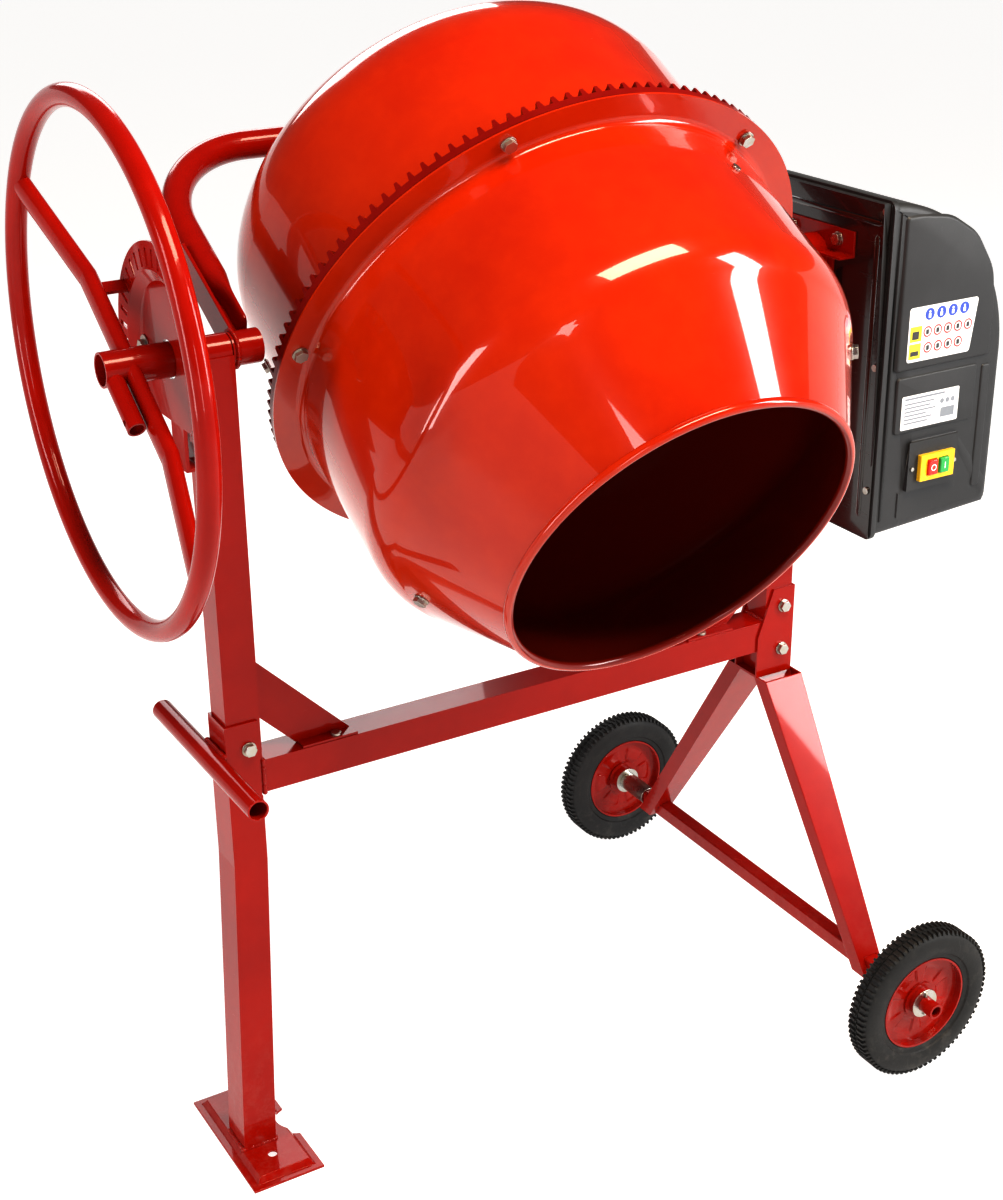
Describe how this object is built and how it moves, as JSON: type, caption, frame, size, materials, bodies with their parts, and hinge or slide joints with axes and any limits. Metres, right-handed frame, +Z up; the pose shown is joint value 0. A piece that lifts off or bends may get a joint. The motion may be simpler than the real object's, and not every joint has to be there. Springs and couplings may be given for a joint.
{
  "type": "concrete mixer",
  "caption": "Electric tilting-drum concrete mixer on a stand leg and two wheels, with a hand wheel that tilts the drum and a boxed motor drive.",
  "frame": {"origin": "on the ground, straight under the crossing of the drum's axis and the tilt axis", "axes": "+Z up; +X along the tilt axis, from the hand wheel to the motor box; -Y toward the user in front, where the drum empties"},
  "size_m": [1.093, 0.7712, 1.2707],
  "materials": {
    "red_paint": "gloss",
    "drum_paint": "gloss",
    "gear_paint": "satin",
    "black_plate": "gloss",
    "cover_plastic": "satin",
    "zinc": "satin",
    "bare_steel": "satin",
    "bearing_steel": "polished",
    "pulley_metal": "cast",
    "motor_metal": "cast",
    "black_plastic": "matte",
    "yellow_plastic": "gloss",
    "red_plastic": "gloss",
    "green_plastic": "gloss",
    "label_film": "satin",
    "belt_rubber": "matte",
    "tyre_rubber": "matte",
    "bronze": "satin"
  },
  "bodies": {
    "frame": {"left_post": "red_paint", "right_post": "red_paint", "cross_beam": "red_paint", "corner_braces": "red_paint", "stand_leg": "red_paint", "foot_plate": "red_paint", "transport_handle": "red_paint", "leg_bracket": "red_paint", "front_wheel_leg": "red_paint", "back_wheel_leg": "red_paint", "axle_beam": "red_paint", "axle_stubs": "red_paint", "frame_bolts": "zinc", "bearing_tubes": "red_paint", "index_plate": "red_paint", "index_bracket": "red_paint", "motor_bracket": "red_paint", "box_cover": "cover_plastic", "box_back_plate": "black_plate", "box_screws": "zinc", "motor_body": "motor_metal", "motor_standoffs": "zinc", "capacitor": "black_plastic", "drive_belt": "belt_rubber", "switch_body": "yellow_plastic", "front_labels": "label_film", "cable_gland": "black_plastic"},
    "yoke": {"yoke_tube": "red_paint", "yoke_gussets": "red_paint", "yoke_stubs": "red_paint", "shaft_bushes": "bronze", "tilt_shaft": "bare_steel", "shaft_end_screw": "zinc", "return_spring": "bare_steel", "spindle_boss": "red_paint", "drum_spindle": "bare_steel"},
    "drum": {"drum_front": "drum_paint", "drum_cone": "drum_paint", "drum_pot": "drum_paint", "drum_base": "drum_paint", "ring_gear": "gear_paint", "drum_bolts": "zinc", "mixing_blades": "drum_paint", "drum_hub": "drum_paint", "drum_bearings": "bearing_steel"},
    "drive": {"pinion": "bare_steel", "drive_shaft": "bare_steel", "large_pulley": "pulley_metal"},
    "motor_rotor": {"motor_shaft": "bare_steel", "motor_pulley": "pulley_metal"},
    "hand_wheel": {"handwheel_rim": "red_paint", "handwheel_spoke": "red_paint", "handwheel_hub": "red_paint", "lever_socket": "red_paint"},
    "front_wheel": {"front_rim": "red_paint", "front_tyre": "tyre_rubber"},
    "back_wheel": {"back_rim": "red_paint", "back_tyre": "tyre_rubber"},
    "start_button": {"start_button": "green_plastic"},
    "stop_button": {"stop_button": "red_plastic"}
  },
  "joints": [
    {"name": "tilt", "type": "hinge", "parent": "frame", "child": "yoke", "pos_m": [0, 0, 0.958], "axis": [1, 0, 0], "range_deg": [-110, 40]},
    {"name": "drum_spin", "type": "hinge", "parent": "yoke", "child": "drum", "pos_m": [0, 0, 0.958], "axis": [0, -0.8691, -0.4947], "continuous": true},
    {"name": "pinion_spin", "type": "hinge", "parent": "yoke", "child": "drive", "pos_m": [0.3, 0, 0.958], "axis": [1, 0, 0], "continuous": true},
    {"name": "motor_spin", "type": "hinge", "parent": "frame", "child": "motor_rotor", "pos_m": [0.428, 0, 0.735], "axis": [1, 0, 0], "continuous": true},
    {"name": "wheel_pull", "type": "slide", "parent": "yoke", "child": "hand_wheel", "axis": [-1, 0, 0], "range_m": [0, 0.01], "stiffness_N_per_m": 1500, "springref_m": -0.006},
    {"name": "front_wheel_spin", "type": "hinge", "parent": "frame", "child": "front_wheel", "pos_m": [0.369, -0.3265, 0.1], "axis": [0, 1, 0], "continuous": true},
    {"name": "back_wheel_spin", "type": "hinge", "parent": "frame", "child": "back_wheel", "pos_m": [0.369, 0.3265, 0.1], "axis": [0, 1, 0], "continuous": true},
    {"name": "start_button_press", "type": "slide", "parent": "frame", "child": "start_button", "axis": [0, 1, 0], "range_m": [0, 0.003], "stiffness_N_per_m": 600, "springref_m": -0.001},
    {"name": "stop_button_press", "type": "slide", "parent": "frame", "child": "stop_button", "axis": [0, 1, 0], "range_m": [0, 0.003], "stiffness_N_per_m": 600, "springref_m": -0.001}
  ],
  "couplings": [
    {"joint": "pinion_spin", "follows": "drum_spin", "ratio": -9.5385},
    {"joint": "motor_spin", "follows": "drum_spin", "ratio": -52.462}
  ]
}
